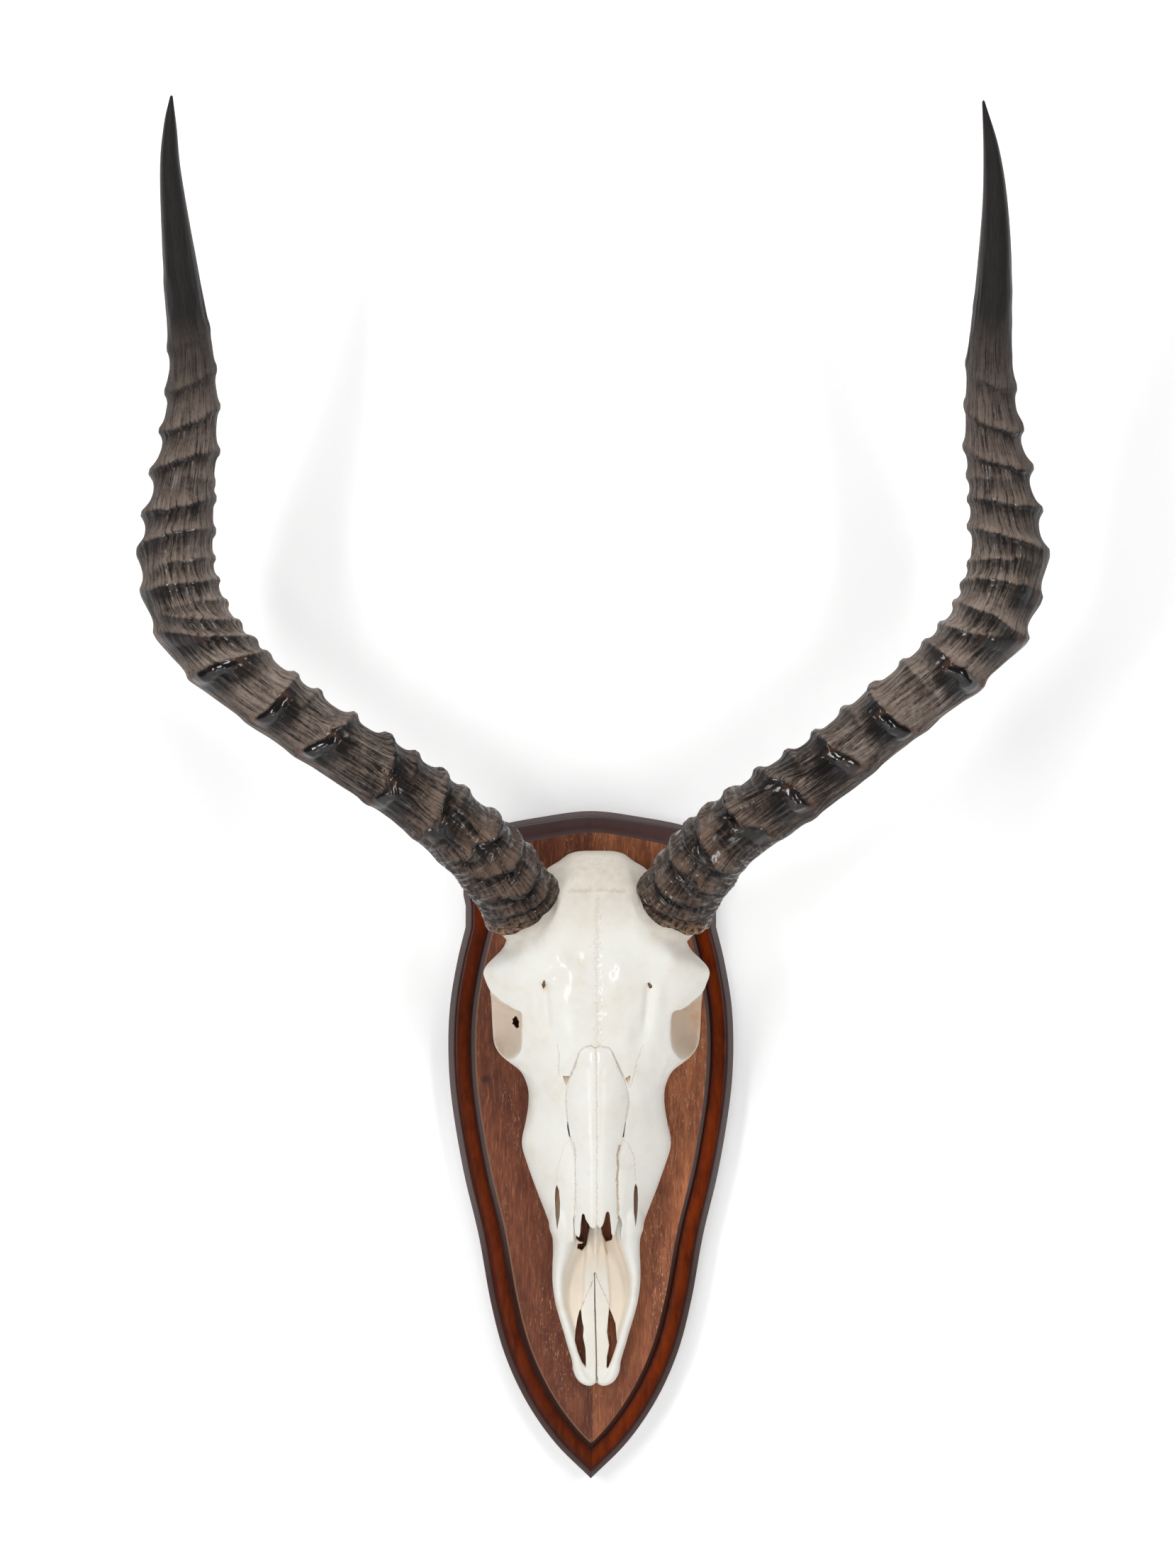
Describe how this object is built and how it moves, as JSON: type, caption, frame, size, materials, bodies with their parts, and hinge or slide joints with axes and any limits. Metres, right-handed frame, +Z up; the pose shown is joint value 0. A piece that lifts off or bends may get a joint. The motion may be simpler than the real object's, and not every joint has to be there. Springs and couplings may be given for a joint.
{
  "type": "mounted antelope skull with horns",
  "caption": "Sawn antelope skull front with long ringed horns that spread and sweep up, screwed to a dark wooden shield that hangs flat on a wall.",
  "frame": {"origin": "middle of the shield's flat back, level with the middle of its height", "axes": "+Z up towards the horn tips, +Y into the wall, +X to the right seen from the front"},
  "size_m": [0.4945, 0.1756, 0.7524],
  "materials": {
    "left_wood": "dark brown walnut, satin panel and glossy moulded edge",
    "right_wood": "slightly redder brown walnut, satin panel and glossy moulded edge",
    "bone": "bleached ivory bone with a soft sheen",
    "horn": "grey-brown fibrous horn, glossy black on the ridges and tips",
    "screw_steel": "plain zinc-plated",
    "hanger_brass": "brass-plated, slightly dull"
  },
  "bodies": {
    "root": {"shield_left_board": "left_wood", "shield_right_board": "right_wood", "skull": "bone", "horn_left": "horn", "horn_right": "horn", "skull_screw_upper_left": "screw_steel", "skull_screw_upper_right": "screw_steel", "skull_screw_lower": "screw_steel", "hanger_plate": "hanger_brass", "hanger_screw_left": "hanger_brass", "hanger_screw_right": "hanger_brass"}
  },
  "joints": []
}
